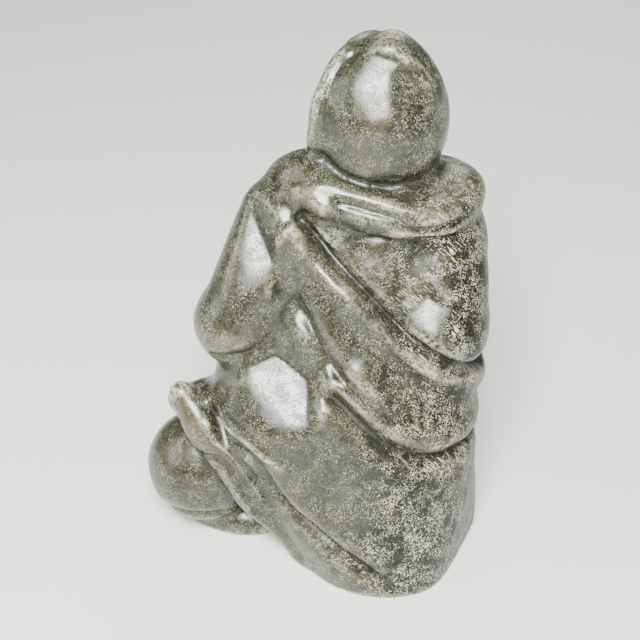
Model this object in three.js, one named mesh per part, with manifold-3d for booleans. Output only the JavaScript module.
// A crouching figure in a hooded robe, carved from one block of stone.
//
// The chest faces -Y and +Z is up. The head turns to the figure's own left, which is +X. The left knee is
// raised on that side, under the edge of the robe, and the boot shows below it. The robe wraps the back in
// long slanting folds that start at the left shoulder. The origin is on the underside, near its middle.
//
// The carving is worked out as a field: a function that gives the distance in mm from a point to the stone,
// negative inside. Masses are blended into it, rolls of cloth are laid on, flats are cut, and folds are
// drawn along curves. A net of faces is then stretched over its surface and sawn flat below.
import * as THREE from "three";
import { mergeVertices } from "three/addons/utils/BufferGeometryUtils.js";
import Module from "manifold-3d";

// Driving dimensions, mm.
const HEIGHT = 340; // floor to the top of the hood
const DRAWN_HEIGHT = 340; // the height that the places below are drawn at
const CELL = 7.6; // spacing of the net
const BELOW = 12; // stone left below the floor, to be sawn off
const FILLED = 0.02; // how deep a filled grid point lies in the stone
const FOLD_DEPTH = 30; // stone further than this from the surface is not reached by a fold
const STEP = 0.3; // the step at which a slope is measured
const STONE_COLOUR = 0x6f7467;

const v = (x, y, z) => new THREE.Vector3(x, y, z);
const mix = THREE.MathUtils.lerp;
const ramp = THREE.MathUtils.smoothstep;
const clamp01 = (t) => THREE.MathUtils.clamp(t, 0, 1);

// ---- Forms: each is a function of x, y, z that gives a rough distance to its surface ----

// An ellipsoid, turned about Z by turn degrees.
function egg(centre, radii, turn = 0) {
  const c = Math.cos(THREE.MathUtils.degToRad(turn));
  const s = Math.sin(THREE.MathUtils.degToRad(turn));
  const [rx, ry, rz] = radii;
  return (x, y, z) => {
    const dx = x - centre.x;
    const dy = y - centre.y;
    const ax = (c * dx + s * dy) / rx;
    const ay = (c * dy - s * dx) / ry;
    const az = (z - centre.z) / rz;
    const k0 = Math.hypot(ax, ay, az);
    const k1 = Math.hypot(ax / rx, ay / ry, az / rz);
    return k1 < 1e-9 ? -Math.min(rx, ry, rz) : (k0 * (k0 - 1)) / k1;
  };
}

// A tapered limb with round ends.
function limb(a, b, ra, rb) {
  const ux = b.x - a.x;
  const uy = b.y - a.y;
  const uz = b.z - a.z;
  const uu = ux * ux + uy * uy + uz * uz;
  return (x, y, z) => {
    const px = x - a.x;
    const py = y - a.y;
    const pz = z - a.z;
    const t = clamp01((px * ux + py * uy + pz * uz) / uu);
    return Math.hypot(px - t * ux, py - t * uy, pz - t * uz) - mix(ra, rb, t);
  };
}

// An upright form through oval sections, given as rows of height, centre x and y, half width, half depth.
function sections(rows) {
  const at = (z, column) => {
    let i = rows.findIndex((row) => row[0] > z) - 1;
    if (i < 0) i = z < rows[0][0] ? 0 : rows.length - 2;
    const row = (n) => rows[THREE.MathUtils.clamp(n, 0, rows.length - 1)];
    const [before, from, to, after] = [row(i - 1), row(i), row(i + 1), row(i + 2)];
    const gap = to[0] - from[0];
    const t = clamp01((z - from[0]) / gap);
    const leave = ((to[column] - before[column]) / (to[0] - before[0])) * gap;
    const arrive = ((after[column] - from[column]) / (after[0] - from[0])) * gap;
    const t2 = t * t;
    const t3 = t2 * t;
    const held = (2 * t3 - 3 * t2 + 1) * from[column] + (3 * t2 - 2 * t3) * to[column];
    return held + (t3 - 2 * t2 + t) * leave + (t3 - t2) * arrive;
  };
  const top = rows[rows.length - 1][0];
  return (x, y, z) => {
    const [cx, cy, rx, ry] = [1, 2, 3, 4].map((column) => at(z, column));
    const ax = (x - cx) / rx;
    const ay = (y - cy) / ry;
    const k0 = Math.hypot(ax, ay);
    const k1 = Math.hypot(ax / rx, ay / ry);
    const round = k1 < 1e-9 ? -Math.min(rx, ry) : (k0 * (k0 - 1)) / k1;
    return Math.max(round, z - top);
  };
}

// A roll of cloth along a smooth curve. Its radius runs through the values in radii.
function roll(points, radii, closed = false) {
  const steps = 7 * points.length;
  const curve = new THREE.CatmullRomCurve3(points, closed);
  const radius = (t) => {
    const k = t * (radii.length - 1);
    const i = Math.min(Math.floor(k), radii.length - 2);
    return mix(radii[i], radii[i + 1], k - i);
  };
  const pieces = [];
  for (let i = 0; i < steps; i++) {
    const t0 = i / steps;
    const t1 = (i + 1) / steps;
    pieces.push(limb(curve.getPoint(t0), curve.getPoint(t1), radius(t0), radius(t1)));
  }
  return (x, y, z) => pieces.reduce((d, piece) => Math.min(d, piece(x, y, z)), Infinity);
}

// ---- Ways to put forms together ----

// The smaller distance, rounded over k mm where the two meet.
function soften(a, b, k) {
  const h = Math.max(k - Math.abs(a - b), 0) / k;
  return Math.min(a, b) - (h * h * k) / 4;
}
const blend = (first, second, k) => (x, y, z) => soften(first(x, y, z), second(x, y, z), k);
const carve = (stone, tool, k) => (x, y, z) => -soften(-stone(x, y, z), tool(x, y, z), k);

// Grinds a flat on a form: a plane through a point, facing along normal, with an edge rounded over k mm.
// Each side of the flat is an angle, a reach from the point and a slope: the plane turns away there by that
// slope, and more and more further out. Angles run anticlockwise as one looks at the flat, from its edge on
// the figure's right.
function flat(stone, point, normal, k, sides = []) {
  const n = normal.clone().normalize();
  const right = new THREE.Vector3(-n.y, n.x, 0).normalize();
  const up = n.clone().cross(right);
  const turns = sides.map(([angle, reach, slope]) => {
    const a = (angle * Math.PI) / 180;
    return { way: right.clone().multiplyScalar(Math.cos(a)).addScaledVector(up, Math.sin(a)), reach, slope };
  });
  const q = new THREE.Vector3();
  return (x, y, z) => {
    q.set(x, y, z).sub(point);
    let bend = 0;
    for (const { way, reach, slope } of turns) {
      const past = Math.max(q.dot(way) - reach, 0);
      bend = Math.max(bend, slope * past + (past * past) / 40);
    }
    return -soften(-stone(x, y, z), bend - q.dot(n), k);
  };
}

// A fold along a smooth curve on the surface, as a rise of the surface in mm. It needs the slope of the stone
// at each place. The groove is cut on the curve, and the cloth swells by left and right mm at reach mm to
// either side of the curve, as one looks along it from outside.
function fold(points, { groove = 0, width = 5, left = 0, right = 0, reach = 14, fade = 0.15 }) {
  const steps = 6 * points.length;
  const line = new THREE.CatmullRomCurve3(points).getPoints(steps);
  const box = new THREE.Box3().setFromPoints(line).expandByScalar(2.2 * reach);
  const parts = line.slice(1).map((end, i) => ({ start: line[i], along: end.clone().sub(line[i]) }));
  const q = new THREE.Vector3();
  return (place, slope) => {
    if (!box.containsPoint(place)) return 0;
    let best = Infinity;
    let spot = 0;
    let nearest = parts[0];
    parts.forEach((part, i) => {
      q.copy(place).sub(part.start);
      const t = clamp01(q.dot(part.along) / part.along.lengthSq());
      const d2 = q.addScaledVector(part.along, -t).lengthSq();
      if (d2 < best) {
        best = d2;
        spot = (i + t) / steps;
        nearest = part;
      }
    });
    const side = slope.clone().cross(nearest.along).normalize();
    const offset = q.copy(place).sub(nearest.start).dot(side);
    const ends = ramp(spot, 0, fade) * ramp(1 - spot, 0, fade);
    const u = Math.abs(offset) / reach;
    const swell = (offset > 0 ? left : right) * u * Math.exp((1 - u * u) / 2);
    const cut = groove * Math.exp(-((offset / width) ** 2));
    return ends * (swell - cut) * Math.exp(-((Math.sqrt(best) / (3 * reach)) ** 4));
  };
}

// ---- The figure ----

// The robe from the floor to the neck, as oval sections: height, centre x and y, half width, half depth.
const ROBE = [
  [-40, -43, 0, 64, 73], [0, -43, 0, 64, 74], [50, -37, -2, 65, 73], [95, -33, -6, 65, 69],
  [130, -32, -13, 68, 63], [165, -29, -24, 68, 59], [200, -29, -30, 68, 53], [225, -30, -34, 67, 45],
  [240, -31, -33, 58, 38], [255, -32, -31, 42, 27], [275, -32, -30, 24, 16],
];

// The ground flats: a point on each, the way it faces, how softly its edge is rounded, and its sides as
// angle, reach in mm and slope.
const HIP_FLAT = [
  v(24, 34, 138), v(0.01, 0.7, 0.71), 3, [[0, 22, 1], [-53, 24, 1], [220, 14, 0.5], [90, 26, 0.8]],
];
const BOOT_FLAT = [v(84, 22, 73), v(-0.03, 0.69, 0.72), 4];
const UPPER_FLATS = [
  // On the left sleeve, on the right sleeve and beside it, on the hood and beside it.
  [v(36, 11, 210), v(0.02, 0.79, 0.61), 4, [[22, 9.5, 1], [90, 28, 0.5], [265, 40, 0.5]]],
  [v(-64, 31, 188.5), v(0.09, 0.736, 0.671), 3, [[95, 12, 0.1], [239, 18, 0.8], [180, 4, 0.25]]],
  [v(-71.4, 31.8, 189.4), v(-0.28, 0.727, 0.627), 3, [[90, 14, 0.4], [270, 20, 0.5]]],
  [v(-28.3, 2, 309), v(0.07, 0.82, 0.57), 4, [[90, 26, 0.4], [270, 30, 0.4]]],
  [v(-37.6, 2.8, 308.5), v(-0.34, 0.775, 0.53), 3, [[90, 26, 0.4], [270, 30, 0.4]]],
];

function torso() {
  return flat(sections(ROBE), v(-90, 36, 0), v(-0.9, 0.43, -0.08), 8);
}

function leftArm() {
  const form = limb(v(20, -20, 222), v(50, 10, 167), 30, 25);
  return blend(form, limb(v(50, -6, 160), v(18, -82, 136), 27, 19), 10);
}

function rightArm() {
  const form = limb(v(-71, -18, 210), v(-68, 6, 169), 30, 34);
  return blend(form, limb(v(-72, -8, 160), v(-30, -84, 142), 29, 19), 12);
}

// Two hands laid one over the other at the waist, with plain mitten shapes.
function hands() {
  let form = egg(v(2, -92, 133), [17, 10, 12], -10);
  form = blend(form, egg(v(-14, -95, 140), [17, 10, 12], 8), 4);
  form = blend(form, limb(v(8, -94, 144), v(-4, -100, 147), 5, 4.5), 4);
  return blend(form, limb(v(-20, -96, 150), v(-8, -101, 152), 5, 4.5), 4);
}

// The raised left knee under the robe, and the hip behind it.
function thigh() {
  let form = limb(v(14, 6, 106), v(-30, 11, 30), 45, 56);
  form = blend(form, egg(v(16, 10, 124), [38, 42, 52]), 16);
  form = blend(form, limb(v(22, 2, 100), v(72, -3, 94), 42, 20), 16);
  form = blend(form, limb(v(26, 2, 126), v(52, 0, 128), 30, 11), 14);
  form = blend(form, limb(v(-6, -8, 40), v(42, -16, 56), 50, 34), 20);
  return blend(form, limb(v(0, -40, 30), v(66, -30, 66), 42, 26), 20);
}

// The rolled edge of the robe, which falls from the knee to the floor behind and in front of the boot.
function hem() {
  const back = [v(87, 6, 113), v(74, 14, 96), v(59, 20, 73), v(44, 26, 48), v(22, 33, 24), v(3, 38, -4)];
  const front = [v(88, 0, 104), v(84, -26, 84), v(68, -50, 62), v(46, -68, 34), v(26, -76, -4)];
  return blend(roll(back, [8, 12, 12, 12, 10, 9]), roll(front, [9, 9]), 6);
}

function boot() {
  let form = egg(v(79, -4, 47), [35, 34, 36]);
  form = blend(form, limb(v(72, -6, 40), v(68, -10, 22), 31, 26), 10);
  form = blend(form, egg(v(67, -14, 6), [46, 26, 18], -33), 4);
  return flat(form, ...BOOT_FLAT);
}

// The right knee, on the floor in front.
function lap() {
  return egg(v(-46, -52, 34), [46, 42, 44]);
}

function collar() {
  const ring = [
    v(15, -27, 246), v(5, -18, 255), v(-9, -6, 250), v(-35, 3, 244), v(-65, 0, 240), v(-82, -24, 240),
    v(-70, -60, 230), v(-30, -80, 220), v(6, -60, 224),
  ];
  return roll(ring, [17, 16, 15, 14, 15, 16, 16, 17, 17, 17], true);
}

// ---- The head ----

const HEAD = v(-35, -32, 285);
const FACING = v(Math.sin(0.96), -Math.cos(0.96), 0); // 55 degrees to the left of the chest
const ACROSS = v(-FACING.y, FACING.x, 0);

// A place on the head: mm towards the figure's left, forward and up from its middle.
const onHead = (left, forward, up) =>
  HEAD.clone().addScaledVector(ACROSS, left).addScaledVector(FACING, forward).add(v(0, 0, up));

function hood() {
  let form = egg(onHead(0, -1, 0), [38, 41, 48], -35);
  form = blend(form, egg(onHead(4, -9, 28), [14, 14, 26], -35), 18);
  form = flat(form, onHead(0, 17, 0), FACING, 3);
  const rim = [];
  for (let i = 0; i < 12; i++) {
    const a = (i / 12) * 2 * Math.PI;
    const half = 33 + 5 * Math.sin(a);
    rim.push(onHead(half * Math.cos(a), 19 - 6 * Math.sin(a), 41 * Math.sin(a) - 1));
  }
  return blend(form, roll(rim, [8, 8], true), 6);
}

function face() {
  let form = egg(onHead(0, 8, -4), [28, 25, 36], -35);
  for (const side of [-1, 1]) {
    form = blend(form, egg(onHead(15 * side, 20, -9), [10, 8, 11], -35), 6);
    form = carve(form, egg(onHead(11 * side, 34, 4), [8.5, 7, 5.5], -35), 4);
    form = blend(form, egg(onHead(11 * side, 27, 3), [6, 3.5, 3], -35), 2);
  }
  form = blend(form, limb(onHead(0, 29, 9), onHead(0, 34, -8), 3.5, 5), 4);
  form = blend(form, limb(onHead(-6, 29, -18), onHead(6, 29, -18), 4, 4), 4);
  return blend(form, egg(onHead(0, 24, -29), [11, 8, 7], -35), 6);
}

// ---- Folds, pressed into the cloth along curves on its surface ----

const FOLDS = [
  // From the left shoulder down across the back and under the right elbow.
  fold(
    [v(26, -6, 252), v(19, 2, 246), v(11, 5, 239), v(-1, 7, 223), v(-20, 20, 206), v(-35, 26, 191),
      v(-48, 31, 178), v(-64, 38, 168), v(-82, 28, 153), v(-99, -3, 134), v(-98, -36, 138), v(-72, -66, 146)],
    { groove: 4.5, width: 6, left: 1, right: 4, reach: 11, fade: 0.1 },
  ),
  // The valley between the left arm and the back.
  fold(
    [v(18, 8, 234), v(20, 13, 222), v(21, 17, 208), v(22, 20, 196), v(27, 20, 182)],
    { groove: 3.5, width: 7, fade: 0.35 },
  ),
  // Under the left arm, where it lies on the hip.
  fold(
    [v(76, 12, 150), v(63, 25, 152), v(48, 27, 155), v(34, 20, 162), v(22, 17, 174)],
    { groove: 2.5, width: 6.5, left: 0.5, right: 0.5, reach: 10, fade: 0.3 },
  ),
  // The edge of the wrap, from the left armpit.
  fold(
    [v(18, 16, 201), v(12, 16, 192), v(2, 18, 181), v(-6, 26, 168), v(-15, 35, 160), v(-25, 42, 148),
      v(-39, 48, 134), v(-51, 50, 126), v(-60, 52, 118)],
    { groove: 4.5, width: 6, left: 3.5, right: 0.5, reach: 14, fade: 0.2 },
  ),
  // The lower edge of the wrap, over the skirt and round the right side.
  fold(
    [v(10, 26, 153), v(5, 30, 147), v(-6, 42, 143), v(-17, 48, 132), v(-31, 55, 119), v(-48, 57, 108),
      v(-67, 53, 100), v(-83, 40, 94), v(-97, 18, 88), v(-103, -14, 86), v(-90, -48, 96), v(-62, -66, 104)],
    { groove: 5, width: 6, left: 4, right: 1, reach: 15, fade: 0.12 },
  ),
  // The valley between the skirt and the rolled hem.
  fold(
    [v(71, 12, 113), v(61, 25, 106), v(50, 39, 101), v(42, 43, 92), v(30, 46, 72), v(19, 54, 58),
      v(2, 64, 48), v(-19, 74, 33), v(-46, 76, 14)],
    { groove: 6, width: 7, left: 3, right: 1, reach: 14, fade: 0.12 },
  ),
  // The crease in the collar at the back.
  fold(
    [v(16, -3, 251), v(9, 2, 251), v(-3, 8, 253), v(-17, 12, 252), v(-33, 16, 249), v(-45, 18, 246),
      v(-58, 16, 243)],
    { groove: 3, width: 5.5, fade: 0.25 },
  ),
  // The front edge of the shawl, from under the collar to the right hand.
  fold(
    [v(-6, -84, 208), v(-22, -88, 186), v(-42, -86, 168), v(-64, -74, 158)],
    { groove: 3, width: 6.5, left: 3, right: 0.5, reach: 13, fade: 0.25 },
  ),
  // Two folds that fall in front from the waist to the floor.
  fold(
    [v(10, -78, 118), v(0, -82, 84), v(-2, -84, 48), v(2, -84, 10)],
    { groove: 5, width: 8, left: 2, right: 2, reach: 16, fade: 0.2 },
  ),
  fold(
    [v(34, -66, 104), v(28, -76, 76), v(26, -82, 46), v(26, -84, 12)],
    { groove: 4, width: 7, left: 1.5, right: 1.5, reach: 14, fade: 0.25 },
  ),
];

function figure() {
  let stone = torso();
  const add = (form, k) => (stone = blend(stone, form, k));
  add(thigh(), 14);
  add(hem(), 8);
  add(boot(), 5);
  add(lap(), 14);
  stone = flat(stone, ...HIP_FLAT);
  add(leftArm(), 10);
  add(rightArm(), 8);
  add(limb(v(-34, -34, 230), onHead(-2, -2, -12), 32, 32), 8);
  add(collar(), 8);
  add(hands(), 5);
  add(hood(), 5);
  add(face(), 4);
  for (const groundFlat of UPPER_FLATS) stone = flat(stone, ...groundFlat);
  stone = flat(stone, v(0, 0, -BELOW), v(0, 0, -1), 4);
  const slopeAt = (x, y, z, here) =>
    v(stone(x + STEP, y, z) - here, stone(x, y + STEP, z) - here, stone(x, y, z + STEP) - here).normalize();
  return (x, y, z) => {
    const here = stone(x, y, z);
    if (Math.abs(here) > FOLD_DEPTH) return here;
    const slope = slopeAt(x, y, z, here);
    return here - FOLDS.reduce((sum, press) => sum + press(v(x, y, z), slope), 0);
  };
}

// ---- The net ----

// Stretches a net of four-sided faces over the surface of a field inside a box, and splits them in two.
function net(field, low, high, cell, focus) {
  const counts = [0, 1, 2].map((a) => Math.ceil((high[a] - low[a]) / cell) + 1);
  const [nx, ny, nz] = counts;
  const index = (i, j, k) => i + nx * (j + ny * k);
  const values = new Float64Array(nx * ny * nz);

  // A place in the box, from its count of cells. The cells draw together round the focus.
  const place = (i, j, k) => {
    const p = v(low[0] + i * cell, low[1] + j * cell, low[2] + k * cell).sub(focus.at);
    return p.multiplyScalar(1 - focus.draw * Math.exp(-p.lengthSq() / (2 * focus.reach ** 2))).add(focus.at);
  };
  for (let k = 0; k < nz; k++) {
    for (let j = 0; j < ny; j++) {
      for (let i = 0; i < nx; i++) {
        const p = place(i, j, k);
        values[index(i, j, k)] = field(p.x, p.y, p.z);
      }
    }
  }

  // Where stone meets stone only across the diagonal of a grid square, the nearer open corner is filled, so
  // that no edge of the net belongs to four faces.
  const steps = [[1, 0, 0], [0, 1, 0], [0, 0, 1]];
  const inside = (n) => values[n] < 0;
  for (let filled = 1; filled > 0; ) {
    filled = 0;
    for (let here = 0; here < values.length - index(1, 1, 1); here++) {
      for (let axis = 0; axis < 3; axis++) {
        const p = here + index(...steps[axis]);
        const q = here + index(...steps[(axis + 1) % 3]);
        const across = p + q - here;
        const crossed =
          inside(here) === inside(across) && inside(p) === inside(q) && inside(here) !== inside(p);
        if (!crossed) continue;
        const open = (inside(here) ? [p, q] : [here, across]).sort((a, b) => values[a] - values[b]);
        values[open[0]] = -FILLED;
        filled += 1;
      }
    }
  }

  // One corner of the net for each cell that the surface passes through, moved onto the surface.
  const corners = [];
  const cornerOf = new Int32Array(nx * ny * nz).fill(-1);
  const settle = (p) => {
    const e = 0.2;
    const start = p.clone();
    for (let step = 0; step < 4; step++) {
      const d = field(p.x, p.y, p.z);
      const slope = v(
        field(p.x + e, p.y, p.z) - field(p.x - e, p.y, p.z),
        field(p.x, p.y + e, p.z) - field(p.x, p.y - e, p.z),
        field(p.x, p.y, p.z + e) - field(p.x, p.y, p.z - e),
      ).divideScalar(2 * e);
      p.addScaledVector(slope, -d / Math.max(slope.lengthSq(), 0.25));
    }
    p.sub(start).clampLength(0, 0.6 * cell).add(start);
    return p;
  };
  for (let k = 0; k < nz - 1; k++) {
    for (let j = 0; j < ny - 1; j++) {
      for (let i = 0; i < nx - 1; i++) {
        const sum = v(0, 0, 0);
        let crossings = 0;
        for (let edge = 0; edge < 12; edge++) {
          const axis = edge >> 2;
          const from = [0, 0, 0];
          from[(axis + 1) % 3] = edge & 1;
          from[(axis + 2) % 3] = (edge >> 1) & 1;
          const to = from.slice();
          to[axis] = 1;
          const a = values[index(i + from[0], j + from[1], k + from[2])];
          const b = values[index(i + to[0], j + to[1], k + to[2])];
          if (a < 0 === b < 0) continue;
          const t = a / (a - b);
          sum.add(v(mix(from[0], to[0], t), mix(from[1], to[1], t), mix(from[2], to[2], t)));
          crossings += 1;
        }
        if (crossings === 0) continue;
        const p = sum.divideScalar(crossings);
        p.copy(place(i + p.x, j + p.y, k + p.z));
        cornerOf[index(i, j, k)] = corners.length;
        corners.push(settle(p));
      }
    }
  }

  // A face across each grid edge that the surface cuts.
  const faces = [];
  for (let k = 1; k < nz - 1; k++) {
    for (let j = 1; j < ny - 1; j++) {
      for (let i = 1; i < nx - 1; i++) {
        const here = index(i, j, k);
        for (let axis = 0; axis < 3; axis++) {
          if (inside(here) === inside(here + index(...steps[axis]))) continue;
          const p = index(...steps[(axis + 1) % 3]);
          const q = index(...steps[(axis + 2) % 3]);
          const quad = [here, here - p, here - p - q, here - q].map((n) => cornerOf[n]);
          if (!inside(here)) quad.reverse();
          const [c0, c1, c2, c3] = quad.map((n) => corners[n]);
          const split = c0.distanceTo(c2) < c1.distanceTo(c3) ? [0, 1, 2, 0, 2, 3] : [1, 2, 3, 1, 3, 0];
          faces.push(...split.map((n) => quad[n]));
        }
      }
    }
  }
  return { points: corners.flatMap((p) => p.toArray()), faces };
}

// ---- From the net to a solid that is sawn flat on z = 0 ----

const wasm = await Module();
wasm.setup();
function solid(points, faces) {
  const vertProperties = new Float32Array(points);
  const triVerts = new Uint32Array(faces);
  return new wasm.Manifold(new wasm.Mesh({ numProp: 3, vertProperties, triVerts }));
}

const scale = HEIGHT / DRAWN_HEIGHT;
const focus = { at: onHead(0, 28, -4), draw: 0.5, reach: 26 };
const stretched = net(figure(), [-126, -128, -24], [138, 96, 364], CELL, focus);
const block = solid(stretched.points.map((c) => c * scale), stretched.faces);
const sawBox = new THREE.BoxGeometry(600, 600, 100).translate(0, 0, -50);
sawBox.deleteAttribute("normal");
sawBox.deleteAttribute("uv");
const sawFaces = mergeVertices(sawBox);
const saw = solid([...sawFaces.attributes.position.array], [...sawFaces.index.array]);
const sawn = block.subtract(saw).getMesh();

const geometry = new THREE.BufferGeometry();
geometry.setAttribute("position", new THREE.BufferAttribute(sawn.vertProperties, 3));
geometry.setIndex(new THREE.BufferAttribute(sawn.triVerts, 1));
geometry.computeVertexNormals();
const stone = new THREE.MeshStandardMaterial({ color: STONE_COLOUR, roughness: 0.45, metalness: 0 });
const carving = new THREE.Mesh(geometry, stone);
carving.name = "stone_figure";

const root = new THREE.Group();
root.add(carving);
export default root;
